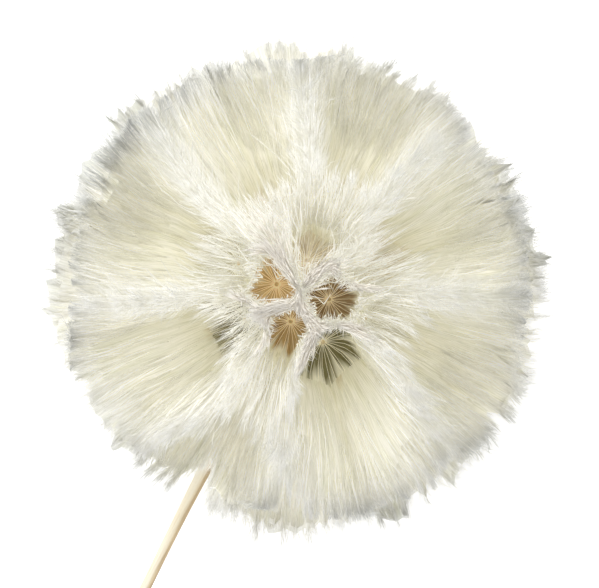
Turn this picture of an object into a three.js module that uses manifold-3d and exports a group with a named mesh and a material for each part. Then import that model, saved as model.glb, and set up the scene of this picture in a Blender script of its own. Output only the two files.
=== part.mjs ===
// A dandelion seed head of the large, plumed kind, picked with a short stem and lying on its side.
// Millimetres, +Z up. The surface it lies on is z = 0, and the stem points along -Y, down to that surface.
// Fifty seeds stand all round a small receptacle. Each is one body: achene, beak and spread pappus.
import * as THREE from "three";
import { mergeVertices } from "three/addons/utils/BufferGeometryUtils.js";
import Module from "manifold-3d";

// Driving dimensions
const HEAD_RADIUS = 40; // from the head's centre to the plume tips
const SEED_COUNT = 50;
const HUB_DISTANCE = 15; // from the head's centre to the hub where a pappus spreads
const RECEPTACLE_RADIUS = 4.2;
const STEM_LENGTH = 108; // from the head's centre to the cut end
const STEM_RADIUS = 0.85; // at the cut end
const NECK_RADIUS = 1.2; // the stem swells towards the head
const BORE_RADIUS = 0.4; // the stem is hollow
const STEM_BOW = 3; // how far the cut end has bent sideways
const BRACT_COUNT = 8;
const BRACT_LENGTH = 18;
const PRESSED_DEPTH = 1; // how far the plumes underneath are pressed flat
const SEAT_GAP = 0.3; // between a seed or bract and what carries it
// Angles seen from the head's centre
const CELL_GAP = THREE.MathUtils.degToRad(0.9); // half the space between neighbouring pappi
const STEM_CLEARANCE = THREE.MathUtils.degToRad(11); // from the stem's axis to the nearest pappus
const MAX_REACH = THREE.MathUtils.degToRad(26); // from a seed's axis to the edge of its pappus
// Plumes up to the first of these tilts from +Z stand upright, and from the second on they fan straight out.
const UPRIGHT_EDGE = [THREE.MathUtils.degToRad(28), THREE.MathUtils.degToRad(60)];

// The seeds of the crown, as [tilt from +Z, turn about +Z] in degrees. The other seeds spread out evenly.
const CROWN = [
  [15, 198],
  [18, 8],
  [21, 281],
  [17.5, 107],
  [37, 321],
  [42, 238],
];

const CENTRE_HEIGHT = HEAD_RADIUS - PRESSED_DEPTH;
// The stem slopes down until the lower edge of its cut end meets the surface.
const STEM_SLOPE =
  Math.asin(CENTRE_HEIGHT / Math.hypot(STEM_LENGTH, STEM_RADIUS)) - Math.atan(STEM_RADIUS / STEM_LENGTH);
const STEM_DIRECTION = new THREE.Vector3(0, -Math.cos(STEM_SLOPE), -Math.sin(STEM_SLOPE));

const wasm = await Module();
wasm.setup();

function material(color, roughness) {
  return new THREE.MeshStandardMaterial({ color, roughness, metalness: 0 });
}
const stemStraw = material(0xeadcb2, 0.55);
const bractOlive = material(0x8f8a5a, 0.8);
const pappusCream = material(0xe9e5d3, 0.9);

// ---- Where the seeds stand ----

function direction(tiltDegrees, turnDegrees) {
  const tilt = THREE.MathUtils.degToRad(tiltDegrees);
  const turn = THREE.MathUtils.degToRad(turnDegrees);
  return new THREE.Vector3(
    Math.sin(tilt) * Math.cos(turn),
    Math.sin(tilt) * Math.sin(turn),
    Math.cos(tilt),
  );
}

// A golden-angle spiral from below the crown to the underside, as a start.
function spiralDirections(count) {
  const goldenAngle = 180 * (3 - Math.sqrt(5));
  const lowestCrownTilt = THREE.MathUtils.degToRad(CROWN.at(-1)[0]);
  return Array.from({ length: count }, (_, i) => {
    const height = THREE.MathUtils.lerp(Math.cos(lowestCrownTilt), -1, (i + 0.5) / count);
    return direction(THREE.MathUtils.radToDeg(Math.acos(height)), i * goldenAngle);
  });
}

// The crown and the stem stay where they are, and the other seeds push apart until their spacing is even.
function seedDirections() {
  const ROUNDS = 600;
  const STEP = 0.02;
  const crown = CROWN.map(([tilt, turn]) => direction(tilt, turn));
  const others = spiralDirections(SEED_COUNT - crown.length);
  for (let round = 0; round < ROUNDS; round++) {
    const everything = [...crown, STEM_DIRECTION, ...others];
    const pushes = others.map((seed) => {
      const push = new THREE.Vector3();
      for (const other of everything) {
        if (other === seed) continue;
        const away = seed.clone().sub(other);
        push.addScaledVector(away, 1 / away.length() ** 4);
      }
      return push;
    });
    const ease = STEP * (1 - round / ROUNDS);
    others.forEach((seed, i) => seed.add(pushes[i].setLength(ease)).normalize());
  }
  return [...crown, ...others];
}

// A pappus is pressed flat against each of its neighbours, half-way between the two, and stops short of the
// stem. The result tells how wide it spreads, as an angle from the seed's axis, towards any turn about it.
// intoSeedFrame brings that axis to +Y.
function reachOf(seed, seeds, intoSeedFrame) {
  const walls = seeds
    .filter((other) => other !== seed)
    .map((other) => ({ towards: other, angle: seed.angleTo(other) / 2 - CELL_GAP }));
  walls.push({ towards: STEM_DIRECTION, angle: seed.angleTo(STEM_DIRECTION) - STEM_CLEARANCE });
  const bounds = walls
    .filter((wall) => wall.angle < MAX_REACH)
    .map((wall) => {
      const local = wall.towards.clone().applyQuaternion(intoSeedFrame);
      return { angle: wall.angle, turn: Math.atan2(local.z, local.x) };
    });
  return (turn) => {
    const angles = bounds
      .filter((bound) => Math.cos(turn - bound.turn) > 0)
      .map((bound) => Math.atan(Math.tan(bound.angle) / Math.cos(turn - bound.turn)));
    return Math.min(MAX_REACH, ...angles);
  };
}

// ---- Solids ----

function solidOf(geometry) {
  const bare = geometry.clone();
  bare.deleteAttribute("normal");
  bare.deleteAttribute("uv");
  const merged = mergeVertices(bare, 1e-4);
  return new wasm.Manifold(
    new wasm.Mesh({
      numProp: 3,
      vertProperties: merged.attributes.position.array,
      triVerts: new Uint32Array(merged.index.array),
    }),
  );
}

function geometryOf(solid) {
  const mesh = solid.getMesh();
  return new THREE.BufferGeometry()
    .setAttribute("position", new THREE.BufferAttribute(mesh.vertProperties, 3))
    .setIndex(new THREE.BufferAttribute(mesh.triVerts, 1));
}

function profilePoints(pairs) {
  return pairs.map(([radius, along]) => new THREE.Vector2(radius, along));
}

// One seed along +Y, with +Y distances measured from the head's centre.
function seedGeometry(reach) {
  const SIDES = 8;
  const BEAK_RADIUS = 0.25;
  const PLAIN_REACH = 0.25; // radians: every turned pappus starts with this spread
  const foot = RECEPTACLE_RADIUS + SEAT_GAP;
  const shoulder = HUB_DISTANCE * 1.17; // the pappus has spread to its full angle here
  const seed = new THREE.LatheGeometry(
    profilePoints([
      [0, foot],
      [0.4, foot + 0.2],
      [0.72, foot + 2.6], // the achene's waist
      [0.5, foot + 5],
      [BEAK_RADIUS, foot + 6.3],
      [BEAK_RADIUS, HUB_DISTANCE - 0.5],
      [0.6, HUB_DISTANCE],
      [shoulder * Math.sin(PLAIN_REACH), shoulder * Math.cos(PLAIN_REACH)],
      [HEAD_RADIUS * Math.sin(PLAIN_REACH), HEAD_RADIUS * Math.cos(PLAIN_REACH)],
      [0, HEAD_RADIUS],
    ]),
    SIDES,
  );
  const places = seed.attributes.position;
  for (let i = 0; i < places.count; i++) {
    const [x, y, z] = [places.getX(i), places.getY(i), places.getZ(i)];
    const fromAxis = Math.hypot(x, z);
    if (y <= HUB_DISTANCE || fromAxis < BEAK_RADIUS) continue;
    const turn = Math.atan2(z, x);
    const distance = Math.hypot(fromAxis, y);
    const spread = (Math.atan2(fromAxis, y) * reach(turn)) / PLAIN_REACH;
    const radius = distance * Math.sin(spread);
    places.setXYZ(i, radius * Math.cos(turn), distance * Math.cos(spread), radius * Math.sin(turn));
  }
  return seed;
}

// Turns what stands beyond the hub towards +Z, so that plumes near the top go up side by side.
function withUprightPlumes(seed) {
  const places = seed.attributes.position;
  const end = new THREE.Vector3();
  const around = new THREE.Vector3();
  for (let i = 0; i < places.count; i++) {
    end.fromBufferAttribute(places, i);
    const distance = end.length();
    if (distance <= HUB_DISTANCE) continue;
    const tilt = Math.acos(end.z / distance);
    const uprightTilt = Math.asin((HUB_DISTANCE / distance) * Math.sin(tilt));
    const fanned = THREE.MathUtils.smoothstep(tilt, ...UPRIGHT_EDGE);
    around.set(-end.y, end.x, 0).normalize();
    end.applyAxisAngle(around, (1 - fanned) * (uprightTilt - tilt));
    places.setXYZ(i, ...end);
  }
  return seed;
}

// What lies below the surface, with the head's centre as the origin.
function groundBlock() {
  const side = 4 * HEAD_RADIUS;
  const block = new THREE.BoxGeometry(side, side, side);
  return block.translate(0, 0, -CENTRE_HEIGHT - side / 2);
}

function seedMesh(name, axis, seeds, ground) {
  const turn = new THREE.Quaternion().setFromUnitVectors(new THREE.Vector3(0, 1, 0), axis);
  const reach = reachOf(axis, seeds, turn.clone().invert());
  const geometry = withUprightPlumes(seedGeometry(reach).applyQuaternion(turn));
  geometry.computeBoundingBox();
  const pressed = geometry.boundingBox.min.z < -CENTRE_HEIGHT;
  const mesh = new THREE.Mesh(
    pressed ? geometryOf(solidOf(geometry).subtract(ground)) : geometry,
    pappusCream,
  );
  mesh.name = name;
  return mesh;
}

// The receptacle is the swollen end of the stem, so both are one body. +Y runs down the stem from the middle.
function stemGeometry() {
  const SIDES = 12;
  const COLLAR_ANGLE = THREE.MathUtils.degToRad(22); // where the dome meets the stem, seen from its centre
  const DOME_STEPS = 9;
  const TUBE_STEPS = 8;
  const dome = Array.from({ length: DOME_STEPS }, (_, i) => {
    const angle = THREE.MathUtils.lerp(Math.PI, COLLAR_ANGLE, i / (DOME_STEPS - 1));
    return [RECEPTACLE_RADIUS * Math.sin(angle), RECEPTACLE_RADIUS * Math.cos(angle)];
  });
  dome[0][0] = 0;
  const neckStart = RECEPTACLE_RADIUS * 1.25;
  const taperEnd = HEAD_RADIUS * 1.45; // the swelling under the head has gone here
  const tube = Array.from({ length: TUBE_STEPS + 1 }, (_, i) => {
    const along = THREE.MathUtils.lerp(neckStart, STEM_LENGTH, i / TUBE_STEPS);
    const swelling = 1 - THREE.MathUtils.smoothstep(along, HEAD_RADIUS * 0.7, taperEnd);
    return [STEM_RADIUS + (NECK_RADIUS - STEM_RADIUS) * swelling, along];
  });
  const bore = [
    [BORE_RADIUS, STEM_LENGTH],
    [BORE_RADIUS, HEAD_RADIUS],
    [0, HEAD_RADIUS - BORE_RADIUS],
  ];
  const profile = profilePoints([...dome, ...tube, ...bore]);
  return bowed(new THREE.LatheGeometry(profile, SIDES));
}

// Bends a stem along +Y sideways, more and more towards its cut end.
function bowed(geometry) {
  const places = geometry.attributes.position;
  for (let i = 0; i < places.count; i++) {
    const share = Math.max(0, places.getY(i)) / STEM_LENGTH;
    places.setX(i, places.getX(i) + STEM_BOW * share ** 2);
  }
  return geometry;
}

// A narrow leaf that leaves the foot of the receptacle and folds back along the stem (+Y).
function bractGeometry(turn) {
  const WIDTH = 1.5;
  const THICKNESS = 0.36;
  const ACROSS_STEPS = 2;
  const ALONG_STEPS = 8;
  const start = new THREE.Vector2(NECK_RADIUS + SEAT_GAP + THICKNESS / 2, RECEPTACLE_RADIUS * 1.4);
  const spine = new THREE.SplineCurve([
    start,
    new THREE.Vector2(2.3, start.y + 1.3),
    new THREE.Vector2(2.5, start.y + 5),
    new THREE.Vector2(2.4, start.y + BRACT_LENGTH * 0.7),
    new THREE.Vector2(2.9, start.y + BRACT_LENGTH),
  ]);
  const leaf = new THREE.BoxGeometry(WIDTH, 1, THICKNESS, ACROSS_STEPS, ALONG_STEPS, 1);
  const places = leaf.attributes.position;
  for (let i = 0; i < places.count; i++) {
    const share = places.getY(i) + 0.5;
    const at = spine.getPoint(share);
    const along = spine.getTangent(share);
    const narrowing = Math.min(0.45 + 3 * share, 1 - 0.88 * share ** 2.2);
    const lift = places.getZ(i);
    places.setXYZ(i, places.getX(i) * narrowing, at.y - along.x * lift, at.x + along.y * lift);
  }
  return leaf.rotateY(turn);
}

// ---- The object ----

function buildStem() {
  const stem = new THREE.Group();
  stem.quaternion.setFromUnitVectors(new THREE.Vector3(0, 1, 0), STEM_DIRECTION);
  const body = new THREE.Mesh(stemGeometry(), stemStraw);
  body.name = "stem";
  stem.add(body);
  for (let i = 0; i < BRACT_COUNT; i++) {
    const bract = new THREE.Mesh(bractGeometry((i / BRACT_COUNT) * 2 * Math.PI), bractOlive);
    bract.name = `bract_${i + 1}`;
    stem.add(bract);
  }
  return stem;
}

function buildSeeds() {
  const seeds = new THREE.Group();
  const directions = seedDirections();
  const ground = solidOf(groundBlock());
  directions.forEach((axis, i) => {
    const name = `seed_${String(i + 1).padStart(2, "0")}`;
    seeds.add(seedMesh(name, axis, directions, ground));
  });
  return seeds;
}

const head = new THREE.Group();
head.add(buildStem(), buildSeeds());
head.position.z = CENTRE_HEIGHT;

const dandelion = new THREE.Group();
dandelion.add(head);
// The origin is under the middle of the whole object, on the surface.
dandelion.updateMatrixWorld(true);
const middle = new THREE.Box3().setFromObject(dandelion, true).getCenter(new THREE.Vector3());
head.position.x = -middle.x;
head.position.y = -middle.y;

export default dandelion;
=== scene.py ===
"""A large, plumed dandelion seed head, picked with a short stem and lying on a pale surface.

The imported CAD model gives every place: the head's centre, the way each seed points, and the stem's path.
Each seed becomes a ribbed achene and a pappus of feathered bristles. The stem and its bracts are modelled
over their CAD shapes. All lengths are in metres.
"""

import math

import bpy
import numpy as np
from mathutils import Matrix, Vector


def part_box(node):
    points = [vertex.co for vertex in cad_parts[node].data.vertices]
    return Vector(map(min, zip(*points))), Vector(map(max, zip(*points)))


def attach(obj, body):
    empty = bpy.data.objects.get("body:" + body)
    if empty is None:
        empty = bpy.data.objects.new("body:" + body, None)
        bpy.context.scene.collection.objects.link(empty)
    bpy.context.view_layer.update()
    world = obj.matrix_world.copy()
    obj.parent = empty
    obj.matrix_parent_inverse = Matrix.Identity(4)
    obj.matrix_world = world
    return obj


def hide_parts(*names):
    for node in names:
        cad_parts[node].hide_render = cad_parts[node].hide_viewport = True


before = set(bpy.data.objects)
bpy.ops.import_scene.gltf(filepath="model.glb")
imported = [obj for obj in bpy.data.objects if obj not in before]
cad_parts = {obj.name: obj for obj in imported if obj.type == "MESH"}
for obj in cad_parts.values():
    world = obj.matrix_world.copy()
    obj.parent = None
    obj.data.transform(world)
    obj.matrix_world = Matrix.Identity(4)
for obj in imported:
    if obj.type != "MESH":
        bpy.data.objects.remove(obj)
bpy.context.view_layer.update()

MM = 0.001

# The head, as the CAD model has it
HEAD_RADIUS = 40 * MM
HUB_DISTANCE = 15 * MM  # from the head's centre to the hub where a pappus spreads
RECEPTACLE_RADIUS = 4.2 * MM
SEED_NODES = sorted(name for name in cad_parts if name.startswith("seed_"))
BRACT_NODES = sorted(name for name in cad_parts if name.startswith("bract_"))

# The stem and its bracts
STEM_RADIUS = 0.92 * MM
NECK_SWELLING = 0.26 * MM  # how much wider it is below the head
SWELLING_ENDS = (58 * MM, 28 * MM)  # where that starts and is full, from the head's centre
BORE_RADIUS = 0.38 * MM
PAINTED_SHADE_TURN = math.radians(10)  # round the stem, from +X: the side painted tan, as painted shade
BRACT_LENGTH = 18 * MM
BRACT_HALF_WIDTH = 0.72 * MM

# How the pappi stand. Pairs are the tilts from +Z, or distances, between which something changes.
UPRIGHT_EDGE = np.radians((28, 60))  # plumes stand upright, and then fan straight out
LEVEL_EDGE = np.radians((38, 22))  # away from level: plumes grow longer
LEVEL_GROWTH = 1.035  # times as long at most
BULGES = [(math.pi, 0.36, 0.085), (math.radians(46), 0.22, 0.055)]  # azimuth, half width, share of radius
COMB_REACH = 10 * MM  # how far the plume tips round the top lie over outwards
COMB_EDGE = (0.6 * HEAD_RADIUS, 0.95 * HEAD_RADIUS)  # off the vertical: they stop doing so
STEM_NOTCH = 8 * MM  # how much shorter the plumes are that would lie over the stem
STEM_CLEARANCE = math.radians(6)  # from the stem's axis to the nearest plume

# A pappus
RIB_COUNT = 32
RIB_WIDTH = 0.14 * MM  # at the hub
RIB_STATIONS = 10
HAIR_SIDES = 3
FUNNEL_RISE = 1.55 * MM  # how quickly the funnel at the hub opens out to the cell's wall
WIDEST_REACH = math.radians(29)  # from a seed's axis to the edge of its pappus
NOTCH_DEPTH = 2.1 * MM  # between the tips of two plumes
VEIL_ROWS = np.array([0, 0.014, 0.036, 0.065, 0.10, 0.16, 0.28, 0.44, 0.62, 0.81, 1.0])  # hub to edge
VEIL_THICKNESS = 0.06 * MM
VEIL_COVER = 0.5  # how much of the way to the tips the veil covers on the head's top
VEIL_GAINS = [(0.15, *np.radians((20, 45))), (0.30, *np.radians((50, 75)))]  # and more between these tilts
VEIL_RAGGEDNESS = 2.2 * MM  # how far back its edge may lie by chance, round the outline
VEIL_SPIKES = 2.5  # times as far on the head's top
VEIL_SPIKES_EDGE = np.radians((65, 45))
VEIL_NOTCH = 0.3 * MM  # and how much further back it lies between ribs
SILK_COUNT = 170
BARB_TOTAL = 50000  # on the whole head: bent hairs
DOWN_TOTAL = 72000  # and straight ones

# The map a hair takes its colour from. Its u, or shade, tells the parts of a pappus apart, and darker hairs
# from brighter ones, which is partly each hair's own tone and partly painted light and shade by height on
# the head and on its upper walls. Its v goes from the hub to the tip of the longest plume.
LONGEST_REACH = 42 * MM  # that tip's distance from the head's centre
RIB_SHADES = (0.03, 0.10)
VEIL_SHADES = (0.14, 0.50)
BARB_SHADES = (0.56, 0.90)
SILK_SHADES = (0.92, 0.94)
CREST_SHADES = (0.97, 0.99)

# The seeds round the top, whose hubs show: the tint at each hub, how far beyond it the barbs start, and
# between which distances off the vertical hair begins to lie over outwards
CROWN = [
    ("golden", 3.6 * MM, (9 * MM, 16 * MM)),
    ("brown", 3.4 * MM, (9 * MM, 16 * MM)),
    ("amber", 3.6 * MM, (9 * MM, 16 * MM)),
    ("cream", 0.6 * MM, (0.5 * MM, 3.1 * MM)),
    ("olive", 3.4 * MM, (9 * MM, 16 * MM)),
    ("moss", 1.4 * MM, (4 * MM, 9 * MM)),
]
OTHERS = [(tint, 0.8 * MM, (2.5 * MM, 9.5 * MM)) for tint in ("pale", "straw")]  # by turns
TIGHT_WALL = 0.85  # about how far hair tips stray from the wall, in mm
LOOSE_WALL = 1.9  # and on the upper walls, outside the crown
UPPER_EDGE = (0.25 * HEAD_RADIUS, 0.5 * HEAD_RADIUS)  # the heights between which walls become upper ones
CREST_COUNT = 1500  # hairs tried along the top of each crown seed's wall
CREST_DENSITY = 0.8  # how many of them are kept near the middle
CREST_EDGE = (11 * MM, 5 * MM)  # off the vertical: none at the first, all of those at the second
CREST_CORE = (4 * MM, 2 * MM)  # and here even where the wall doesn't run outwards


# ---- where things are


def eased(value, start, end):
    """0 on the far side of start, 1 beyond end, and smooth between."""
    share = np.clip((value - start) / (end - start), 0, 1)
    return share**2 * (3 - 2 * share)


def way_out(distance):
    """0 at the hub and 1 at the head's outside."""
    return (distance - HUB_DISTANCE) / (HEAD_RADIUS - HUB_DISTANCE)


def turns_of(places):
    """The angles of places round Z, from +X."""
    return np.arctan2(places[:, 1], places[:, 0])


def tilt_of(tips):
    """The angle from +Z of points on the head's outside."""
    return np.arccos(np.clip(tips[:, 2] / HEAD_RADIUS, -1, 1))


def length_of(vectors):
    return np.linalg.norm(vectors, axis=-1)


def unit(vectors):
    return vectors / length_of(vectors)[..., None]


def places_of(piece):
    """The vertices of a piece or CAD node, as an array of places."""
    places = np.empty(3 * len(piece.data.vertices))
    piece.data.vertices.foreach_get("co", places)
    return places.reshape(-1, 3)


def sphere_centre(points):
    """The centre of the sphere that passes nearest to the points."""
    table = np.hstack([2 * points, np.ones((len(points), 1))])
    return np.linalg.lstsq(table, (points**2).sum(1), rcond=None)[0][:3]


def seed_feet():
    """The tip of each achene, where it stands on the receptacle."""
    low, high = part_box("stem")
    dome = np.array([(low.x + high.x) / 2, high.y - RECEPTACLE_RADIUS, high.z - RECEPTACLE_RADIUS])
    feet = []
    for name in SEED_NODES:
        points = places_of(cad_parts[name])
        feet.append(points[length_of(points - dome).argmin()])
    return np.array(feet)


FEET = seed_feet()
CENTRE = sphere_centre(FEET)
AXES = unit(FEET - CENTRE)
FOOT_DISTANCE = length_of(FEET[0] - CENTRE)


def stem_end():
    """The middle of the stem's cut end."""
    points = places_of(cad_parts["stem"])
    distance = length_of(points - CENTRE)
    rim = points[distance > distance.max() - 1.2 * MM]
    return (rim.min(0) + rim.max(0)) / 2


STEM_END = stem_end()
STEM_AXIS = unit(np.array([0.0, STEM_END[1] - CENTRE[1], STEM_END[2] - CENTRE[2]]))
STEM_LENGTH = (STEM_END - CENTRE) @ STEM_AXIS
STEM_BOW = STEM_END[0] - CENTRE[0]


# ---- shader parts


def link(tree, source, socket):
    """Joins a node's output to a socket, or sets the socket to a plain value."""
    if isinstance(source, bpy.types.NodeSocket):
        tree.links.new(source, socket)
    else:
        socket.default_value = source


def colour_ramp(tree, factor, stops):
    """A colour ramp through stops of (position, (r, g, b))."""
    node = tree.nodes.new("ShaderNodeValToRGB")
    elements = node.color_ramp.elements
    while len(elements) > 1:
        elements.remove(elements[-1])
    for number, (position, colour) in enumerate(stops):
        element = elements[0] if number == 0 else elements.new(position)
        element.position = position
        element.color = (*colour, 1)
    link(tree, factor, node.inputs["Fac"])
    return node.outputs["Color"]


def shading(tree, kind, output, inputs=None, **settings):
    """Adds a node with these inputs and settings, and returns this output of it."""
    node = tree.nodes.new(f"ShaderNode{kind}")
    for name, value in settings.items():
        setattr(node, name, value)
    for name, value in (inputs or {}).items():
        link(tree, value, node.inputs[name])
    return node.outputs[output]


def mixed(tree, factor, first, second, blend="MIX"):
    """Two colours mixed by a factor."""
    inputs = {0: factor, 6: first, 7: second}
    return shading(tree, "Mix", 2, inputs, data_type="RGBA", blend_type=blend)


def calculated(tree, operation, *values):
    """The result of a Math node."""
    return shading(tree, "Math", "Value", dict(enumerate(values)), operation=operation)


def noise(tree, vector, scale, detail):
    """Soft noise from 0 to 1."""
    return shading(tree, "TexNoise", "Fac", {"Vector": vector, "Scale": scale, "Detail": detail})


def new_group(name, inputs, outputs):
    """A node group with sockets of these names and kinds, and the nodes at its two ends."""
    group = bpy.data.node_groups.new(name, "ShaderNodeTree")
    for in_out, sockets in (("INPUT", inputs), ("OUTPUT", outputs)):
        for socket, kind in sockets.items():
            group.interface.new_socket(socket, in_out=in_out, socket_type=f"NodeSocket{kind}")
    return group, group.nodes.new("NodeGroupInput"), group.nodes.new("NodeGroupOutput")


def new_material(name, roughness, specular):
    """A Principled material with its node tree and shader."""
    material = bpy.data.materials.new(name)
    material.use_nodes = True
    shader = material.node_tree.nodes["Principled BSDF"]
    shader.inputs["Roughness"].default_value = roughness
    shader.inputs["Specular IOR Level"].default_value = specular
    return material, material.node_tree, shader


def make_plant_fibres_group():
    """Fine streaks that run along Z of the vector that comes in, and blotches, both from 0 to 1."""
    inputs = {"Vector": "Vector", "Streaks per metre": "Float"}
    group, start, end = new_group("plant_fibres", inputs, {"Streaks": "Float", "Blotches": "Float"})
    inputs = {0: start.outputs["Vector"], 1: (1, 1, 0.035)}
    drawn_out = shading(group, "VectorMath", "Vector", inputs, operation="MULTIPLY")
    streaks = noise(group, drawn_out, start.outputs["Streaks per metre"], 3)
    blotches = noise(group, start.outputs["Vector"], 160, 4)
    group.links.new(streaks, end.inputs["Streaks"])
    group.links.new(blotches, end.inputs["Blotches"])
    return group


PLANT_FIBRES = make_plant_fibres_group()


def plant_fibres(tree, turn, streaks_per_metre):
    """The streaks and blotches of a piece whose fibres run along Z after this turn of its coordinates."""
    place = shading(tree, "TexCoord", "Object")
    turned = shading(tree, "Mapping", "Vector", {"Vector": place, "Rotation": turn})
    inputs = {"Vector": turned, "Streaks per metre": streaks_per_metre}
    streaks = shading(tree, "Group", "Streaks", inputs, node_tree=PLANT_FIBRES)
    return streaks, streaks.node.outputs["Blotches"]


def bumped(tree, shader, height, depth):
    """Raises the shader's surface by a height from 0 to 1, at most this deep."""
    normal = shading(tree, "Bump", "Normal", {"Distance": depth, "Height": height})
    tree.links.new(normal, shader.inputs["Normal"])


# ---- materials


def turn_to_z(axis):
    """The Euler turn that brings an axis to Z."""
    return Vector(axis).rotation_difference(Vector((0, 0, 1))).to_euler()


def make_stem_skin():
    """Dry cream skin with fine ribs along it, and painted shade in tan down one side."""
    material, tree, shader = new_material("stem_skin", roughness=0.5, specular=0.35)
    streaks, blotches = plant_fibres(tree, turn_to_z(STEM_AXIS), 3800)
    skin = [(0.30, (0.72, 0.58, 0.36)), (0.45, (0.83, 0.74, 0.55)), (0.60, (0.89, 0.83, 0.69))]
    faded = mixed(tree, blotches, (0.83, 0.75, 0.56, 1), (0.90, 0.86, 0.74, 1))
    fresh = mixed(tree, 0.55, colour_ramp(tree, streaks, skin), faded)
    # The tan side is painted shade: the stem's side away from the light, painted darker and browner.
    tan = colour_ramp(tree, streaks, [(0.36, (0.36, 0.23, 0.09)), (0.60, (0.58, 0.42, 0.20))])
    side = shading(tree, "Attribute", "Fac", attribute_name="painted_shade_side")
    painted_shade_side = calculated(tree, "MULTIPLY", side, 0.85)
    tree.links.new(mixed(tree, painted_shade_side, fresh, tan), shader.inputs["Base Color"])
    bumped(tree, shader, streaks, 0.06 * MM)
    return material


def make_bract_leaf():
    """A withered leaf: dull olive with straw veins and brown blotches."""
    material, tree, shader = new_material("bract_leaf", roughness=0.75, specular=0.2)
    streaks, blotches = plant_fibres(tree, turn_to_z(STEM_AXIS), 3000)
    leaf = [(0.34, (0.16, 0.17, 0.07)), (0.50, (0.33, 0.32, 0.14)), (0.66, (0.60, 0.54, 0.30))]
    withered = calculated(tree, "SMOOTH_MIN", calculated(tree, "MULTIPLY", blotches, 0.9), 0.7, 0.2)
    colour = mixed(tree, withered, colour_ramp(tree, streaks, leaf), (0.38, 0.26, 0.12, 1))
    tree.links.new(colour, shader.inputs["Base Color"])
    bumped(tree, shader, streaks, 0.08 * MM)
    return material


def make_achene_husk():
    """A dark brown husk that pales to straw up the beak."""
    material, tree, shader = new_material("achene_husk", roughness=0.7, specular=0.25)
    place = shading(tree, "TexCoord", "Object")
    distance = shading(tree, "VectorMath", "Value", {0: place, 1: CENTRE}, operation="DISTANCE")
    along = calculated(tree, "DIVIDE", distance, HUB_DISTANCE)
    husk = [
        (0.30, (0.08, 0.04, 0.015)),
        (0.62, (0.17, 0.09, 0.035)),
        (0.8, (0.42, 0.28, 0.12)),
        (1.0, (0.88, 0.74, 0.46)),
    ]
    mottle = noise(tree, place, 1400, 3)
    spots = colour_ramp(tree, mottle, [(0.35, (0.72, 0.67, 0.6)), (0.6, (1, 1, 1))])
    colour = mixed(tree, 0.8, colour_ramp(tree, along, husk), spots, "MULTIPLY")
    tree.links.new(colour, shader.inputs["Base Color"])
    bumped(tree, shader, mottle, 0.04 * MM)
    return material


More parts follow.
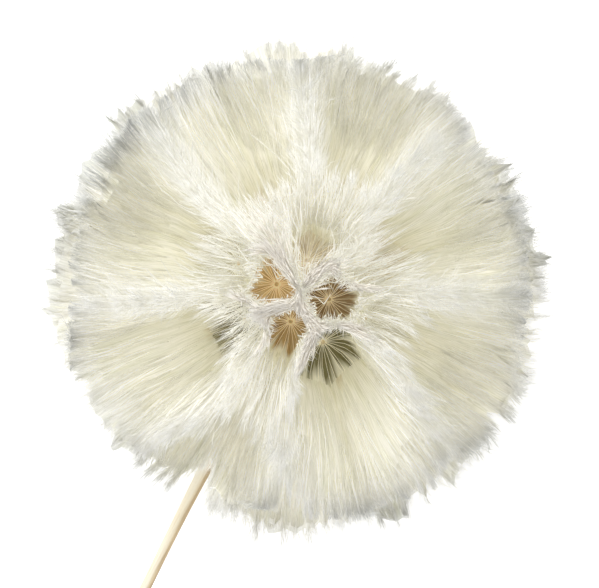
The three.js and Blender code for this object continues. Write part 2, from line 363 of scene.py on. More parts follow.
def make_hair_strands_group():
    """What all pappus hair shares: the colours of ribs, veil and barbs at a place on their map, and the
    painted glow of each.

    The map holds a hair's shade as u and its place from hub to tip as v. The veil's u goes round it.
    """
    inputs = {"Map": "Vector", "Web colour": "Color", "Rib colour": "Color", "Silk tint": "Color"}
    group, start, end = new_group("hair_strands", inputs, {"Colour": "Color", "Glow": "Color"})
    shade = shading(group, "SeparateXYZ", "X", {"Vector": start.outputs["Map"]})
    along = shade.node.outputs["Y"]
    web, rib = start.outputs["Web colour"], start.outputs["Rib colour"]

    def streaks(across, lengthwise, detail):
        """Noise that is drawn out along the hair."""
        inputs = {"Vector": start.outputs["Map"], "Scale": (across, lengthwise, 1)}
        return noise(group, shading(group, "Mapping", "Vector", inputs), 1, detail)

    def grey(value):
        return (value, value, value)

    def rising(factor, low, high):
        """Black up to low, and white from high on."""
        return colour_ramp(group, factor, [(low, grey(0)), (high, grey(1))])

    def tinted(first, second, share=1.0):
        """A colour multiplied by another, in this share."""
        return mixed(group, share, first, second, "MULTIPLY")

    def beyond(shades, next_shades):
        """1 for hair past the middle between these two kinds, and 0 before it."""
        return calculated(group, "GREATER_THAN", shade, (shades[1] + next_shades[0]) / 2)

    # The web's edge is torn
    tears = calculated(group, "MULTIPLY", calculated(group, "SUBTRACT", streaks(40, 2, 2), 0.5), 0.45)
    past_web = rising(calculated(group, "ADD", along, tears), 0.09, 0.19)

    # Barbs, silks and crest hair
    paler = [
        (0.16, (0.765, 0.74, 0.625)),
        (0.45, (0.795, 0.78, 0.70)),
        (0.66, (0.83, 0.82, 0.76)),
        (1.0, (0.855, 0.85, 0.81)),
    ]
    silk = tinted(colour_ramp(group, along, paler), start.outputs["Silk tint"])
    # Lower shades are darker: partly the hair's own tone, and partly painted shade low on the head and on
    # upper walls.
    height_shade_and_tone = [(0.56, (0.86, 0.87, 0.82)), (0.68, (0.92, 0.92, 0.90)), (0.82, grey(0.95))]
    barbs = tinted(silk, colour_ramp(group, shade, height_shade_and_tone))
    # The tips of the darker hairs, round the head's outline, grey to painted shade.
    near_tip = rising(along, 0.84, 1.0)
    rim_shade_mask = colour_ramp(group, shade, [(0.71, grey(1)), (0.86, grey(0))])
    barbs = mixed(group, calculated(group, "MULTIPLY", near_tip, rim_shade_mask), barbs, (0.40, 0.41, 0.385, 1))
    barbs = mixed(group, beyond(BARB_SHADES, SILK_SHADES), barbs, (0.97, 0.945, 0.85, 1))
    barbs = mixed(group, beyond(SILK_SHADES, CREST_SHADES), barbs, (0.78, 0.725, 0.62, 1))

    # The veil, with the web at the hub
    fine = colour_ramp(group, streaks(520, 5, 3), [(0.36, (0.75, 0.75, 0.69)), (0.60, grey(1))])
    broad = colour_ramp(group, streaks(60, 2.5, 2), [(0.38, (0.91, 0.92, 0.88)), (0.58, grey(1))])
    veil = tinted(tinted(silk, fine), broad)
    # The veil's edge greys to painted shade towards the tips.
    veil = mixed(group, near_tip, veil, (0.48, 0.49, 0.46, 1))
    # Painted shade in the hub web: fine dark streaks as if in creases, and darker sectors.
    crease_shade = colour_ramp(group, streaks(160, 12, 3), [(0.38, (0.60, 0.53, 0.44)), (0.60, grey(1))])
    sector_shade = colour_ramp(group, streaks(16, 1, 1), [(0.40, (0.66, 0.60, 0.52)), (0.60, grey(1))])
    hub_web = tinted(tinted(web, crease_shade, 0.8), sector_shade, 0.7)
    veil = mixed(group, past_web, hub_web, veil)

    pale_rib = colour_ramp(group, along, [(0.3, (0.90, 0.87, 0.76)), (1.0, (0.84, 0.84, 0.80))])
    ribs = mixed(group, rising(along, 0.06, 0.30), rib, pale_rib)

    colour = mixed(group, beyond(RIB_SHADES, VEIL_SHADES), ribs, veil)
    colour = mixed(group, beyond(VEIL_SHADES, BARB_SHADES), colour, barbs)
    # Painted glow: emission in the hair's own colours, strongest from the hub to near the tips, stands in
    # for light scattered through the fluff and lifts the deep funnels.
    glowing = colour_ramp(group, along, [(0.78, grey(0.98)), (0.92, grey(0.55)), (1, grey(0.3))])
    group.links.new(colour, end.inputs["Colour"])
    group.links.new(tinted(colour, glowing), end.inputs["Glow"])
    return group


HAIR_STRANDS = make_hair_strands_group()


def make_pappus_hair(tint, web, rib, silk):
    """Silky hair that lets some light through, with a painted glow that stands in for light scattered
    through it, and its own colour of web and ribs at the hub.
    """
    material, tree, shader = new_material(f"pappus_{tint}", roughness=0.6, specular=0.2)
    inputs = {"Map": shading(tree, "UVMap", "UV", uv_map="OFBake")}
    inputs |= {"Web colour": (*web, 1), "Rib colour": (*rib, 1), "Silk tint": (*silk, 1)}
    colour = shading(tree, "Group", "Colour", inputs, node_tree=HAIR_STRANDS)
    tree.links.new(colour, shader.inputs["Base Color"])
    # Painted glow: the hair emits light in its own colours, though it is no lamp.
    tree.links.new(colour.node.outputs["Glow"], shader.inputs["Emission Color"])
    shader.inputs["Subsurface Weight"].default_value = 0.8
    shader.inputs["Subsurface Radius"].default_value = (1.0, 1.0, 0.9)
    shader.inputs["Subsurface Scale"].default_value = 0.5 * MM
    shader.inputs["Emission Strength"].default_value = 0.275
    return material


STEM_SKIN = make_stem_skin()
BRACT_LEAF = make_bract_leaf()
ACHENE_HUSK = make_achene_husk()
GOLD_RIB = (0.94, 0.80, 0.52)
# Cream silk round the top is partly the older hair's own tone and partly painted shade of the deeper hair
# there.
CREAM_SILK = (0.97, 0.955, 0.90)
WHITE_SILK = (0.98, 0.965, 0.925)
# The brown, olive and moss webs are dark partly as painted shade: they stand in for the shaded inside of the
# head seen between the ribs.
PAPPUS_TINTS = {  # web, ribs, silk
    "golden": ((0.73, 0.52, 0.25), GOLD_RIB, CREAM_SILK),
    "amber": ((0.46, 0.31, 0.13), GOLD_RIB, CREAM_SILK),
    "brown": ((0.28, 0.185, 0.09), GOLD_RIB, CREAM_SILK),
    "olive": ((0.12, 0.115, 0.05), (0.90, 0.82, 0.58), CREAM_SILK),
    "moss": ((0.20, 0.19, 0.10), (0.86, 0.83, 0.64), CREAM_SILK),
    "cream": ((0.80, 0.74, 0.58), (0.92, 0.84, 0.62), CREAM_SILK),
    "straw": ((0.74, 0.68, 0.50), (0.88, 0.83, 0.66), WHITE_SILK),
    "pale": ((0.70, 0.71, 0.56), (0.88, 0.86, 0.74), WHITE_SILK),
}
PAPPUS_HAIRS = {tint: make_pappus_hair(tint, *colours) for tint, colours in PAPPUS_TINTS.items()}


# ---- turned pieces


def turned_piece(name, profile, sides, flatness=1.0):
    """A closed body round +Z from (radius, height) pairs, made by drawing a ring up through them."""
    first_radius, first_height = profile[0]
    bpy.ops.mesh.primitive_circle_add(
        vertices=sides, radius=first_radius, fill_type="NGON", location=(0, 0, first_height)
    )
    piece = bpy.context.object
    piece.name = name
    bpy.ops.object.transform_apply(location=True)
    piece.scale = (1, flatness, 1)
    bpy.ops.object.transform_apply(scale=True)
    bpy.ops.object.mode_set(mode="EDIT")
    bpy.ops.mesh.select_all(action="SELECT")
    for (radius, height), (next_radius, next_height) in zip(profile, profile[1:]):
        bpy.ops.mesh.extrude_region_move(TRANSFORM_OT_translate={"value": (0, 0, next_height - height)})
        ratio = next_radius / radius
        bpy.ops.transform.resize(value=(ratio, ratio, 1), center_override=(0, 0, next_height))
    bpy.ops.mesh.select_all(action="SELECT")
    bpy.ops.mesh.normals_make_consistent(inside=False)
    bpy.ops.object.mode_set(mode="OBJECT")
    bpy.ops.object.shade_smooth_by_angle(angle=math.radians(50))
    return piece


def moved_vertices(piece, move):
    """Moves every vertex by a function of all their places."""
    piece.data.vertices.foreach_set("co", move(places_of(piece)).ravel())
    piece.data.update()


def add_piece(piece, material, slot_name, *nodes):
    """Gives a finished piece its material and its place in the frame."""
    piece.data.materials.clear()
    piece.data.materials.append(material)
    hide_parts(*nodes)
    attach(piece, "root")


def along_stem(places):
    """Takes a piece that stands on +Z to the stem's line, with the stem's own bow."""
    turn = np.array(Vector((0, 0, 1)).rotation_difference(Vector(STEM_AXIS)).to_matrix())
    share = np.maximum(places[:, 2], 0) / STEM_LENGTH
    placed = places @ turn.T + CENTRE
    placed[:, 0] += STEM_BOW * share**2
    return placed


def make_stem():
    """The receptacle's dome, the neck below it and the hollow stem, drawn as one body."""
    dome_angles = np.radians(np.linspace(176, 22, 15))
    dome = [(RECEPTACLE_RADIUS * math.sin(a), RECEPTACLE_RADIUS * math.cos(a)) for a in dome_angles]
    neck_start = RECEPTACLE_RADIUS * 1.2
    heights = np.linspace(neck_start, STEM_LENGTH - 0.15 * MM, 40)
    tube = [(STEM_RADIUS + NECK_SWELLING * eased(height, *SWELLING_ENDS), height) for height in heights]
    cut = [(STEM_RADIUS - 0.11 * MM, STEM_LENGTH), (BORE_RADIUS + 0.04 * MM, STEM_LENGTH - 0.05 * MM)]
    bore = [(BORE_RADIUS, STEM_LENGTH - 4 * MM), (BORE_RADIUS - 0.02 * MM, STEM_LENGTH - 60 * MM)]
    stem = turned_piece("stem_and_receptacle", dome + tube + cut + bore, sides=28)

    def shaped(places):
        """Shallow ribs along the stem, and a slight waver."""
        on_stem = np.clip((places[:, 2] - neck_start) / (4 * MM), 0, 1)
        is_skin = length_of(places[:, :2]) > (STEM_RADIUS + BORE_RADIUS) / 2
        places[:, :2] *= 1 + (0.035 * np.cos(7 * turns_of(places)) * on_stem * is_skin)[:, None]
        height = places[:, 2] / MM
        places[:, 0] += 0.10 * MM * np.sin(height / 9.0) * on_stem
        places[:, 1] += 0.08 * MM * np.sin(height / 13.0 + 1) * on_stem
        return along_stem(places)

    # How far each vertex faces the side of the stem that is painted tan as painted shade.
    facing = np.cos(turns_of(places_of(stem)) - PAINTED_SHADE_TURN)
    painted_shade_side = stem.data.attributes.new("painted_shade_side", "FLOAT", "POINT")
    painted_shade_side.data.foreach_set("value", eased(facing, 0.1, 0.9))
    moved_vertices(stem, shaped)
    add_piece(stem, STEM_SKIN, "stem_skin", "stem")


def make_bract(number, name):
    """A withered leaf, drawn from a thin ring and folded back along the stem."""
    shares = np.linspace(0, 1, 17)
    widths = np.minimum(0.45 + 3 * shares, 1 - 0.93 * shares**2.2)
    profile = [(BRACT_HALF_WIDTH * width, BRACT_LENGTH * share) for share, width in zip(shares, widths)]
    leaf = turned_piece(f"{name}_leaf", profile, sides=12, flatness=0.17)
    phase = number * 1.7

    def folded(places):
        """Away from the neck and then close along the stem, cupped and a little wavy."""
        share = places[:, 2] / BRACT_LENGTH
        away = (1.68 + 0.75 * np.clip(share * 6, 0, 1) + 0.35 * share**3) * MM
        cupped = 0.22 * MM * (places[:, 0] / BRACT_HALF_WIDTH) ** 2
        sway = 0.25 * MM * share**2 * math.sin(phase)
        curl = 0.12 * MM * np.sin(9 * share + phase) * share
        turn = number * 2 * math.pi / len(BRACT_NODES)
        inwards = away - cupped + curl + places[:, 1]
        across = places[:, 0] + sway
        x = math.cos(turn) * across + math.sin(turn) * inwards
        y = -math.sin(turn) * across + math.cos(turn) * inwards
        z = places[:, 2] + 1.4 * RECEPTACLE_RADIUS
        return along_stem(np.stack([x, y, z], 1))

    moved_vertices(leaf, folded)
    add_piece(leaf, BRACT_LEAF, "bract_leaf", name)


def make_achene():
    """One seed body along +Z: a fluted achene, a thin beak and the small cup of the hub."""
    body = [(0.10, 0.0), (0.42, 0.25), (0.60, 1.2), (0.70, 2.5), (0.66, 3.8), (0.50, 5.0), (0.27, 6.2)]
    beak = [(0.20, 7.0), (0.17, 8.5), (0.18, 9.8), (0.22, 10.3)]
    hub = [(0.30, 10.5), (0.36, 10.6), (0.34, 10.7), (0.22, 10.8), (0.08, 10.84)]
    profile = [(radius * MM, FOOT_DISTANCE + height * MM) for radius, height in body + beak + hub]
    achene = turned_piece("achene_pattern", profile, sides=12)

    def fluted(places):
        low = places[:, 2] < FOOT_DISTANCE + 6 * MM
        places[:, :2] *= 1 + (np.where(low, 0.09, 0.0) * np.cos(6 * turns_of(places)))[:, None]
        return places

    moved_vertices(achene, fluted)
    return achene


# ---- pappi


def stood_up(points):
    """Turns what stands beyond the hubs towards +Z, so that plumes near the top go up side by side."""
    distance = length_of(points)
    tilt = np.arccos(np.clip(points[:, 2] / distance, -1, 1))
    upright_tilt = np.arcsin(np.minimum(HUB_DISTANCE / distance, 1) * np.sin(tilt))
    fanned = eased(tilt, *UPRIGHT_EDGE)
    new_tilt = np.where(distance > HUB_DISTANCE, tilt + (1 - fanned) * (upright_tilt - tilt), tilt)
    flat = points[:, :2] / np.maximum(length_of(points[:, :2]), 1e-9)[:, None]
    return distance[:, None] * np.column_stack([flat * np.sin(new_tilt)[:, None], np.cos(new_tilt)])


def combed(points, start, end):
    """Hair round the top lies over outwards, more and more between these distances off the vertical."""
    distance = length_of(points)
    off_middle = np.maximum(length_of(points[:, :2]), 1e-9)
    push = COMB_REACH * np.clip(way_out(distance), 0, 1) ** 2
    push *= eased(off_middle, start, end) * (1 - eased(off_middle, *COMB_EDGE))
    push = np.where(points[:, 2] > 0, push, 0)
    pushed = np.minimum(off_middle + push, np.maximum(0.995 * distance, off_middle))
    height = np.sqrt(np.maximum(distance**2 - pushed**2, 0))
    moved = np.column_stack([points[:, :2] * (pushed / off_middle)[:, None], height])
    return np.where(push[:, None] > 0, moved, points)


def wavered(points):
    """Hair is not quite straight: the walls waver more and more towards the tips."""
    reach = np.clip(way_out(length_of(points)), 0, 1) ** 1.5
    x, y, z = (points / MM).T
    shift = np.column_stack([
        np.sin(y / 2.9 + z / 11) + 0.6 * np.sin(y / 1.3 - x / 5 + 2),
        np.sin(x / 3.3 - z / 9 + 1) + 0.6 * np.sin(x / 1.5 + y / 6 + 4),
        np.sin(x / 4.1 + y / 3.7),
    ])
    drift = np.column_stack([
        np.sin(y / 9.0 + z / 13 + 0.5),
        np.sin(x / 8.0 - z / 12 + 2.5),
        np.sin(x / 10 + y / 11),
    ])
    return points + MM * reach[:, None] * (0.5 * shift + 0.9 * drift)


class Cell:
    """One seed's share of the head: its axis, and how far its pappus may lean every way round it."""

    def __init__(self, number, comb):
        self.comb = comb
        self.axis = AXES[number]
        self.across = unit(np.cross(self.axis, STEM_AXIS))
        self.up = np.cross(self.axis, self.across)
        others = np.delete(AXES, number, 0)
        halves = np.arccos(np.clip(others @ self.axis, -1, 1)) / 2
        to_stem = math.acos(self.axis @ STEM_AXIS) - STEM_CLEARANCE
        walls = np.vstack([others, STEM_AXIS])
        halves = np.append(halves, to_stem)
        near = halves < WIDEST_REACH
        self.wall_turns = np.arctan2(walls[near] @ self.up, walls[near] @ self.across)
        self.wall_slopes = np.tan(halves[near])

    def reach(self, turn):
        """The angle from the axis to the cell's wall, rounded off at its corners."""
        facing = np.maximum(np.cos(turn[:, None] - self.wall_turns), 0.05)
        angles = np.minimum(np.arctan(self.wall_slopes / facing), WIDEST_REACH)
        sharpness = 24
        return (angles**-sharpness).sum(1) ** (-1 / sharpness)

    def place(self, turn, distance, inset=0.0):
        """Points of the pappus, by their turn about the axis, their distance from the head's centre and how
        far inside the cell's wall they are."""
        opening = 1 - np.exp(-np.maximum(distance - HUB_DISTANCE, 0) / FUNNEL_RISE)
        angle = (self.reach(turn) * opening + 0.3 * MM / distance)[:, None]
        sideways = np.cos(turn)[:, None] * self.across + np.sin(turn)[:, None] * self.up
        on_wall = stood_up(distance[:, None] * (np.cos(angle) * self.axis + np.sin(angle) * sideways))
        middle = stood_up(distance[:, None] * self.axis)
        inwards = unit(middle - on_wall) * np.broadcast_to(inset, turn.shape)[:, None]
        return CENTRE + wavered(combed(on_wall + inwards, *self.comb))

    def outside(self, turns):
        """Where the wall meets the head's outside at these turns, from the head's centre."""
        return self.place(turns, np.full(len(turns), HEAD_RADIUS)) - CENTRE

    def tip_spans(self, turns, distance):
        """How wide a strip of the wall belongs to each of these turns, at this distance."""
        points = self.place(turns, np.full(len(turns), distance))
        steps = length_of(points - np.roll(points, -1, 0))
        return (steps + np.roll(steps, 1)) / 2


class HairMesh:
    """Collects closed hairs: vertices, faces, and each vertex's shade and place along the pappus."""

    def __init__(self):
        self.vertices, self.faces, self.coordinates, self.smooth = [], [], [], []
        self.count = 0

    def add(self, vertices, faces, coordinates, smooth=True):
        """vertices: (hairs, points, 3); faces: one hair's triangles; coordinates: (hairs, points, 2)."""
        hairs, points = vertices.shape[:2]
        starts = self.count + points * np.arange(hairs)[:, None, None]
        self.vertices.append(vertices.reshape(-1, 3))
        self.coordinates.append(coordinates.reshape(-1, 2))
        self.faces.append((starts + faces).reshape(-1, 3))
        self.smooth.append(np.broadcast_to(smooth, (hairs, len(faces))).ravel())
        self.count += hairs * points

    def build(self, name):
        """One piece of all the hairs, with their map."""
        vertices = pressed(np.concatenate(self.vertices))
        faces = np.concatenate(self.faces)
        coordinates = np.concatenate(self.coordinates)
        mesh = bpy.data.meshes.new(name)
        mesh.vertices.add(len(vertices))
        mesh.vertices.foreach_set("co", vertices.ravel())
        mesh.loops.add(faces.size)
        mesh.loops.foreach_set("vertex_index", faces.ravel())
        mesh.polygons.add(len(faces))
        mesh.polygons.foreach_set("loop_start", np.arange(0, faces.size, 3))
        mesh.polygons.foreach_set("use_smooth", np.concatenate(self.smooth))
        layer = mesh.uv_layers.new(name="OFBake")
        layer.data.foreach_set("uv", coordinates[faces.ravel()].ravel())
        mesh.update(calc_edges=True)
        piece = bpy.data.objects.new(name, mesh)
        bpy.context.collection.objects.link(piece)
        return piece


def pressed(places):
    """Hair that would pass through the surface lies flat just above it."""
    height, flattest, deepest = 3 * MM, 0.05 * MM, -4 * MM
    share = (places[:, 2] - deepest) / (height - deepest)
    places[:, 2] = np.where(share < 1, flattest + share * (height - flattest), places[:, 2])
    return places


def ring_points(middle, chord, width):
    """A small ring round each hair, square to it."""
    chord = unit(chord)
    guide = np.where(np.abs(chord[:, 2:]) < 0.9, [[0.0, 0.0, 1.0]], [[1.0, 0.0, 0.0]])
    side = unit(np.cross(chord, guide))
    up = np.cross(chord, side)
    angles = 2 * np.pi * np.arange(HAIR_SIDES) / HAIR_SIDES
    spokes = np.cos(angles)[:, None] * side[:, None, :] + np.sin(angles)[:, None] * up[:, None, :]
    return middle[:, None, :] + 0.5 * width[:, None, None] * spokes


SHADE_SPREAD = np.array([-0.004, 0.0, 0.004])  # round a hair, so that every face has width on the map
SPINDLE_FACES = np.array([[0, 2, 1], [0, 3, 2], [0, 1, 3], [4, 1, 2], [4, 2, 3], [4, 3, 1]])
NEEDLE_FACES = np.array([[0, 2, 1], [3, 0, 1], [3, 1, 2], [3, 2, 0]])


def add_spindles(hair, points, width, shade, along):
    """Bent hairs, each from a point through a ring to a point. points and along are given for all three."""
    start, middle, end = points
    ring = ring_points(middle, end - start, width)
    vertices = np.concatenate([start[:, None], ring, end[:, None]], 1)
    u = shade[:, None] + np.array([0, *SHADE_SPREAD, 0])
    v = np.stack([along[0], along[1], along[1], along[1], along[2]], 1)
    hair.add(vertices, SPINDLE_FACES, np.stack([u, v], 2))


def add_needles(hair, points, width, shade, along):
    """Straight hairs, each from a small ring to a point."""
    start, end = points
    ring = ring_points(start, end - start, width)
    vertices = np.concatenate([ring, end[:, None]], 1)
    u = shade[:, None] + np.array([*SHADE_SPREAD, 0])
    v = np.stack([along[0], along[0] + 0.004, along[0], along[1]], 1)
    hair.add(vertices, NEEDLE_FACES, np.stack([u, v], 2))


def rib_faces():
    """The triangles of one rib: a cap, the rings between its stations and a point."""
    faces = [[0, 2, 1]]
    for station in range(RIB_STATIONS - 1):
        for side in range(HAIR_SIDES):
            low = station * HAIR_SIDES + side
            low_next = station * HAIR_SIDES + (side + 1) % HAIR_SIDES
            faces += [[low, low_next, low + HAIR_SIDES], [low_next, low_next + HAIR_SIDES, low + HAIR_SIDES]]
    tip = RIB_STATIONS * HAIR_SIDES
    last = tip - HAIR_SIDES
    faces += [[tip, last + side, last + (side + 1) % HAIR_SIDES] for side in range(HAIR_SIDES)]
    return np.array(faces)


RIB_FACES = rib_faces()


def sheet_faces(rings, columns):
    """The triangles of a closed sheet whose rings go out over its top and back under it."""
    faces = []
    for ring in range(rings):
        low = ring * columns
        high = (ring + 1) % rings * columns
        for column in range(columns):
            following = (column + 1) % columns
            faces += [[low + column, high + column, high + following]]
            faces += [[low + column, high + following, low + following]]
    return np.array(faces)


def share_of_way(distance):
    """The map's v: nearly 0 at the hub and nearly 1 at the longest plume's tip."""
    return np.clip((distance - HUB_DISTANCE) / (LONGEST_REACH - HUB_DISTANCE), 0, 1) * 0.98 + 0.01


def fuller(tips):
    """How much longer plumes grow just above and below level, so that they reach nearly as far out as level
    ones, and on the sides where the head bulges."""
    tilt = tilt_of(tips)
    bulge = np.zeros(len(tips))
    for middle, width, height in BULGES:
        off = (turns_of(tips) - middle + math.pi) % (2 * math.pi) - math.pi
        bulge += height * np.exp(-((off / width) ** 2))
    near_level = eased(np.abs(tilt - math.pi / 2), *LEVEL_EDGE)
    longer = np.minimum(1 / np.maximum(np.sin(tilt), 0.5), LEVEL_GROWTH) - 1
    return 1 + (longer + bulge) * near_level


class Pappus:
    """The ribs of one seed's pappus, the web between them and the barbs that feather them."""

    def __init__(self, number):
        self.in_crown = number < len(CROWN)
        self.tint, self.bare, comb = CROWN[number] if self.in_crown else OTHERS[number % len(OTHERS)]
        self.cell = Cell(number, comb)
        self.random = np.random.default_rng(1000 + number)
        self.spacing = 2 * np.pi / RIB_COUNT
        jitter = self.random.uniform(-0.28, 0.28, RIB_COUNT)
        self.turns = (np.arange(RIB_COUNT) + jitter) * self.spacing
        self.spans = self.cell.tip_spans(self.turns, 0.85 * HEAD_RADIUS)
        seed_length = self.random.normal(0, 0.012)
        wave = 0.022 * np.sin(2 * self.turns + self.random.uniform(0, 6))
        wave += 0.016 * np.sin(5 * self.turns + self.random.uniform(0, 6))
        each = self.random.normal(0, 0.018, RIB_COUNT)
        tips = self.cell.outside(self.turns)
        self.lengths = HEAD_RADIUS * np.clip(1.0 + seed_length + wave + each, 0.955, 1.05)
        self.lengths *= fuller(tips)
        self.sways = self.random.normal(0, 0.035, RIB_COUNT)
        self.lengths -= STEM_NOTCH * self.over_stem(self.turns)
        self.plume_shades = self.random.uniform(0, 1, RIB_COUNT)
        self.is_upper = eased(tips[:, 2], *UPPER_EDGE) * (not self.in_crown)
        self.loose = TIGHT_WALL + (LOOSE_WALL - TIGHT_WALL) * self.is_upper
        self.hair = HairMesh()

    def size(self):
        """How much hair this pappus needs: its walls' width, and less of it where the head rests on it."""
        return self.spans.sum() * (1.0 if self.cell.axis[2] > -0.3 else 0.7)

    def over_stem(self, turns):
        """1 for a plume whose tip would lie right over the stem, and 0 well to its side or below it."""
        tips = self.cell.outside(turns)
        forward = np.maximum(-tips[:, 1], 0)
        beside = np.abs(tips[:, 0] - STEM_BOW * (forward / STEM_LENGTH) ** 2)
        above = tips[:, 2] > forward * STEM_AXIS[2] / -STEM_AXIS[1]
        return np.where(above & (forward > 0.6 * HEAD_RADIUS), np.clip(1.25 - beside / (2.8 * MM), 0, 1), 0)

    def tip_distance(self, turn):
        """How far out hair may go: to the nearest rib's tip, less a notch between ribs."""
        apart = np.abs((turn[:, None] - self.turns - self.sways + np.pi) % (2 * np.pi) - np.pi)
        nearest = apart.argmin(1)
        share = np.minimum(apart.min(1) / (0.5 * self.spacing), 1.3)
        return self.lengths[nearest] - NOTCH_DEPTH * share**1.2

    def sway(self, rib, distance):
        """Where a rib is at this distance: it drifts a little sideways as it goes."""
        return self.turns[rib] + self.sways[rib] * way_out(distance) ** 2

    def add_ribs(self):
        rib = np.repeat(np.arange(RIB_COUNT), RIB_STATIONS + 1)
        step = np.tile(np.linspace(0, 1, RIB_STATIONS + 1) ** 1.6, RIB_COUNT)
        distance = HUB_DISTANCE + step * (self.lengths[rib] - HUB_DISTANCE)
        points = self.cell.place(self.sway(rib, distance), distance)
        points = points.reshape(RIB_COUNT, RIB_STATIONS + 1, 3)
        chords = np.gradient(points, axis=1)
        width = RIB_WIDTH * (1 - 0.72 * np.linspace(0, 1, RIB_STATIONS) ** 0.7)
        rings = [
            ring_points(points[:, i], chords[:, i], np.full(RIB_COUNT, width[i]))
            for i in range(RIB_STATIONS)
        ]
        vertices = np.concatenate([*rings, points[:, -1:]], 1)
        along = share_of_way(distance).reshape(RIB_COUNT, -1)
        v = np.concatenate([np.repeat(along[:, :-1], HAIR_SIDES, 1), along[:, -1:]], 1)
        shade = self.random.uniform(*RIB_SHADES, RIB_COUNT)
        u = shade[:, None] + np.append(np.tile(SHADE_SPREAD, RIB_STATIONS), 0)
        self.hair.add(vertices, RIB_FACES, np.stack([u, v], 2))

    def add_veil(self):
        """The felt of the finest barbs: one closed sheet from the hub outwards, with a ragged edge, that
        sags between the ribs."""
        middles = self.turns + (np.roll(self.turns, -1) - self.turns) % (2 * np.pi) / 2
        turns = np.column_stack([self.turns, middles]).ravel()
        between = np.tile([0.0, 1.0], RIB_COUNT)
        tips = np.column_stack([self.lengths, np.minimum(self.lengths, np.roll(self.lengths, -1))]).ravel()
        tilt = tilt_of(self.cell.outside(turns))
        covered = VEIL_COVER + sum(gain * eased(tilt, start, end) for gain, start, end in VEIL_GAINS)
        blunt = np.repeat(self.random.uniform(0, 1, RIB_COUNT), 2)
        spiky = self.random.uniform(0, VEIL_SPIKES, len(turns))
        ragged = (blunt + (spiky - blunt) * eased(tilt, *VEIL_SPIKES_EDGE)) * VEIL_RAGGEDNESS
        reach = (tips - HUB_DISTANCE) * covered - ragged - VEIL_NOTCH * between
        inner, outer, along = [], [], []
        for row in VEIL_ROWS:
            distance = HUB_DISTANCE + row * reach
            way = way_out(distance)
            steepness = 1 - np.exp(-way * 12)
            swayed = turns + np.repeat(self.sways, 2) * way**2
            behind = (0.05 + 0.22 * between * way**0.4 * (1 - 0.7 * row)) * MM
            for side, gap in ((inner, behind), (outer, behind + VEIL_THICKNESS)):
                wall = self.cell.place(swayed, distance, -gap * steepness)
                side.append(wall - (gap * (1 - steepness))[:, None] * self.cell.axis)
            along.append(share_of_way(distance))
        vertices = np.concatenate(inner + outer[::-1])[None]
        low, high = VEIL_SHADES
        round_turn = np.arange(len(turns)) / len(turns)
        shade = low + (high - low) * (1 - np.abs(2 * round_turn - 1))
        u = np.tile(shade, 2 * len(VEIL_ROWS))
        v = np.concatenate(along + along[::-1])
        faces = sheet_faces(2 * len(VEIL_ROWS), len(turns))
        ring = np.arange(2 * len(VEIL_ROWS)).repeat(2 * len(turns))
        on_edge = (ring + 1) % len(VEIL_ROWS) == 0
        self.hair.add(vertices, faces, np.stack([u, v], 1)[None], ~on_edge)

    def traced(self, *courses):
        """The points of hairs, and v there, from the turns, distances and insets of their stations."""
        points = [self.cell.place(*station) for station in zip(*courses)]
        return points, [share_of_way(distance) for distance in courses[1]]

    def barb_roots(self, count, nearest, furthest):
        """A rib and a distance along it for each barb, thicker where the wall is wider."""
        rib = self.random.choice(RIB_COUNT, count, p=self.spans / self.spans.sum())
        low, high = nearest**2, (self.lengths[rib] * furthest) ** 2
        return rib, np.sqrt(self.random.uniform(0, 1, count) * (high - low) + low)

    def shades(self, rib, tips):
        """Hair is painted brighter towards the top of the head and darker lower down, as painted light and
        shade, and painted darker on the upper walls there, as painted shade that tones down the ridges
        facing the light.
        The barbs of one plume have like shades, and each barb some of its own: the hair's own tone."""
        low, high = BARB_SHADES
        height = 0.5 + 0.5 * (tips[:, 2] - CENTRE[2]) / HEAD_RADIUS
        each = self.random.uniform(0, 1, len(rib))
        # Painted light and shade by height, painted shade on upper walls, and each plume's and barb's own
        # tone.
        brightness = 0.6 * height + 0.2 * self.plume_shades[rib] + 0.2 * each - 0.5 * self.is_upper[rib]
        return low + (high - low) * np.clip(brightness, 0, 1)

    def barbs(self, count, spread, length_at_hub, length_at_tip):
        """The rib of each barb, with the points of its start, middle and end, and v there."""
        rib, root = self.barb_roots(count, HUB_DISTANCE + self.bare, 0.93)
        way = way_out(root)
        length = length_at_hub + (length_at_tip - length_at_hub) * way
        length *= self.random.uniform(0.6, 1.3, count)
        spread_turn = np.minimum(spread * self.spacing / self.spans[rib], 2.6 * self.spacing)
        drift = self.random.uniform(-1, 1, count) * spread_turn * (1 - 0.75 * way)
        turn = self.sway(rib, root)
        end = np.minimum(root + length, self.tip_distance(turn + drift))
        end = np.maximum(end, root + 0.5 * MM)
        inset = self.random.normal(0.4, 0.85, count) * (0.12 + self.loose[rib] * way_out(end) ** 1.5) * MM
        turns = (turn, turn + 0.6 * drift, turn + drift)
        distances = (root, 0.4 * root + 0.6 * end, end)
        return rib, *self.traced(turns, distances, (0.25 * inset * way, 0.6 * inset, inset))

    def add_barbs(self, count):
        """Bent hairs that leave the ribs and run on almost beside them."""
        rib, points, along = self.barbs(count, 2.2 * MM, 13 * MM, 8 * MM)
        width = self.random.uniform(0.08, 0.13, count) * MM
        add_spindles(self.hair, points, width, self.shades(rib, points[2]), along)

    def add_down(self, count):
        """Finer straight hairs that fill the walls."""
        rib, points, along = self.barbs(count, 2.6 * MM, 11 * MM, 7 * MM)
        width = self.random.uniform(0.08, 0.12, count) * MM
        add_needles(self.hair, points[::2], width, self.shades(rib, points[2]), along[::2])

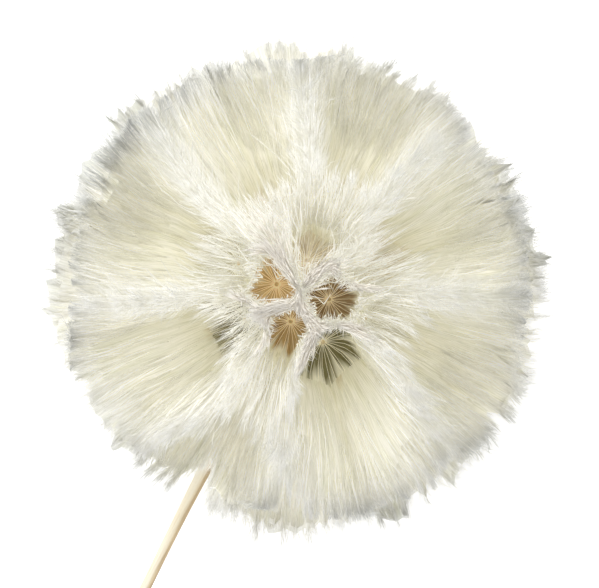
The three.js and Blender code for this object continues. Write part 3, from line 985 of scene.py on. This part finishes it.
    def add_silks(self):
        """Long single bright hairs that lie loosely over the rest."""
        rib, root = self.barb_roots(SILK_COUNT, HUB_DISTANCE + 5 * MM, 0.7)
        length = self.random.uniform(11, 23, SILK_COUNT) * MM
        end = np.minimum(root + length, self.lengths[rib] * 0.998)
        turn = self.sway(rib, root)
        drift = self.random.normal(0, 0.13, SILK_COUNT)
        inset = self.random.uniform(-1.5, 1.5, SILK_COUNT) * MM
        turns = (turn, turn + 0.6 * drift, turn + drift)
        distances = (root, (root + end) / 2, end)
        points, along = self.traced(turns, distances, (0.2 * inset, inset, 0.6 * inset))
        width = self.random.uniform(0.13, 0.20, SILK_COUNT) * MM
        shade = self.random.uniform(*SILK_SHADES, SILK_COUNT)
        add_spindles(self.hair, points, width, shade, along)

    def add_crest(self):
        """Hair tips felted into a smooth rope along the wall's top, where it runs outwards."""
        step = 0.1
        turn = self.random.uniform(0, 2 * np.pi, CREST_COUNT)
        nearby = [self.cell.outside(turn - step), self.cell.outside(turn + step)]
        before, after = [length_of(points[:, :2]) for points in nearby]
        stretch = length_of(nearby[1] - nearby[0])
        outwards = (after - before) / stretch
        is_radial = np.maximum(eased(np.abs(outwards), 0.5, 0.8), eased(after, *CREST_CORE))
        wanted = eased(after, *CREST_EDGE) * is_radial * CREST_DENSITY
        kept = self.random.uniform(0, 1, CREST_COUNT) < wanted
        turn, outwards, stretch = turn[kept], outwards[kept], stretch[kept]
        count = len(turn)
        run = np.sign(outwards) * self.random.uniform(2.5, 4.5, count) * MM * 2 * step / stretch
        inset = self.random.normal(0, 0.32, count) * MM
        level = HEAD_RADIUS * self.random.uniform(0.965, 1.005, count)
        start = self.cell.place(turn, 0.98 * level, 0.6 * inset)
        middle = self.cell.place(turn + 0.4 * run, level, inset)
        end = middle + (middle - start) * self.random.uniform(0.5, 1.4, count)[:, None]
        end = CENTRE + unit(end - CENTRE) * level[:, None]
        width = self.random.uniform(0.16, 0.30, count) * MM
        shade = self.random.uniform(*CREST_SHADES, count)
        along = [np.full(count, v) for v in (0.93, 0.96, 0.99)]
        add_spindles(self.hair, (start, middle, end), width, shade, along)


def make_pappi():
    """Grows every pappus, each with its share of all the head's hair."""
    pappi = [Pappus(number) for number in range(len(SEED_NODES))]
    sizes = np.array([pappus.size() for pappus in pappi])
    for pappus, name, share in zip(pappi, SEED_NODES, sizes / sizes.sum()):
        pappus.add_ribs()
        pappus.add_veil()
        pappus.add_barbs(round(BARB_TOTAL * share))
        pappus.add_down(round(DOWN_TOTAL * share))
        pappus.add_silks()
        if pappus.in_crown:
            pappus.add_crest()
        piece = pappus.hair.build(f"{name}_pappus")
        add_piece(piece, PAPPUS_HAIRS[pappus.tint], "pappus_hair", name)


def copy_achene(pattern, number, name):
    """The pattern achene, copied to where this seed stands."""
    piece = pattern.copy()
    piece.data = pattern.data.copy()
    piece.name = f"{name}_achene"
    bpy.context.collection.objects.link(piece)
    turn = Vector((0, 0, 1)).rotation_difference(Vector(AXES[number]))
    piece.data.transform(Matrix.Translation(Vector(CENTRE)) @ turn.to_matrix().to_4x4())
    add_piece(piece, ACHENE_HUSK, "achene_husk", name)


# ---- floor, light and camera


def make_floor():
    """A pale surface whose slight glow keeps the shadows soft."""
    bpy.ops.mesh.primitive_plane_add(size=6)
    floor = bpy.context.object
    floor.name = "floor"
    material, _, shader = new_material("pale_floor", roughness=0.9, specular=0.0)
    shader.inputs["Base Color"].default_value = (0.9, 0.9, 0.9, 1)
    shader.inputs["Emission Color"].default_value = (1, 1, 1, 1)
    shader.inputs["Emission Strength"].default_value = 0.35
    floor.data.materials.append(material)


def make_light(name, direction, distance, size, power):
    """A square softbox that faces the head."""
    place = Vector(CENTRE) + Vector(direction).normalized() * distance
    bpy.ops.object.light_add(type="AREA", location=place)
    light = bpy.context.object
    light.name = name
    light.data.size = size
    light.data.energy = power
    light.rotation_euler = (Vector(CENTRE) - place).to_track_quat("-Z", "Y").to_euler()


def make_camera():
    """Straight above the head, turned so that the stem leaves at the lower left."""
    roll = math.radians(28.6)
    distance = 320 * MM
    width_in_view = 97.8 * MM
    off_centre = Matrix.Rotation(roll, 3, "Z") @ Vector((-0.245 * MM, -0.816 * MM, 0))
    camera_data = bpy.data.cameras.new("camera")
    camera_data.lens = camera_data.sensor_width * math.sqrt(distance**2 - HEAD_RADIUS**2) / width_in_view
    camera = bpy.data.objects.new("camera", camera_data)
    camera.location = Vector(CENTRE) + Vector((0, 0, distance)) + off_centre
    camera.rotation_euler = (0, 0, roll)
    bpy.context.collection.objects.link(camera)
    bpy.context.scene.camera = camera


def make_studio():
    """White light from all round, a key light from the upper left and a weak fill."""
    world = bpy.context.scene.world or bpy.data.worlds.new("studio")
    bpy.context.scene.world = world
    world.use_nodes = True
    background = world.node_tree.nodes["Background"]
    background.inputs["Color"].default_value = (1, 1, 1, 1)
    background.inputs["Strength"].default_value = 0.855
    bpy.context.scene.view_settings.view_transform = "Standard"
    make_light("key", (-0.64, 0.42, 0.95), 0.7, 0.5, 2.7)
    make_light("fill", (-0.1, -0.95, 0.8), 0.8, 0.6, 0.9)


# ---- the object

make_camera()
make_studio()
make_floor()
make_stem()
for number, name in enumerate(BRACT_NODES):
    make_bract(number, name)
achene_pattern = make_achene()
for number, name in enumerate(SEED_NODES):
    copy_achene(achene_pattern, number, name)
bpy.data.objects.remove(achene_pattern)
make_pappi()
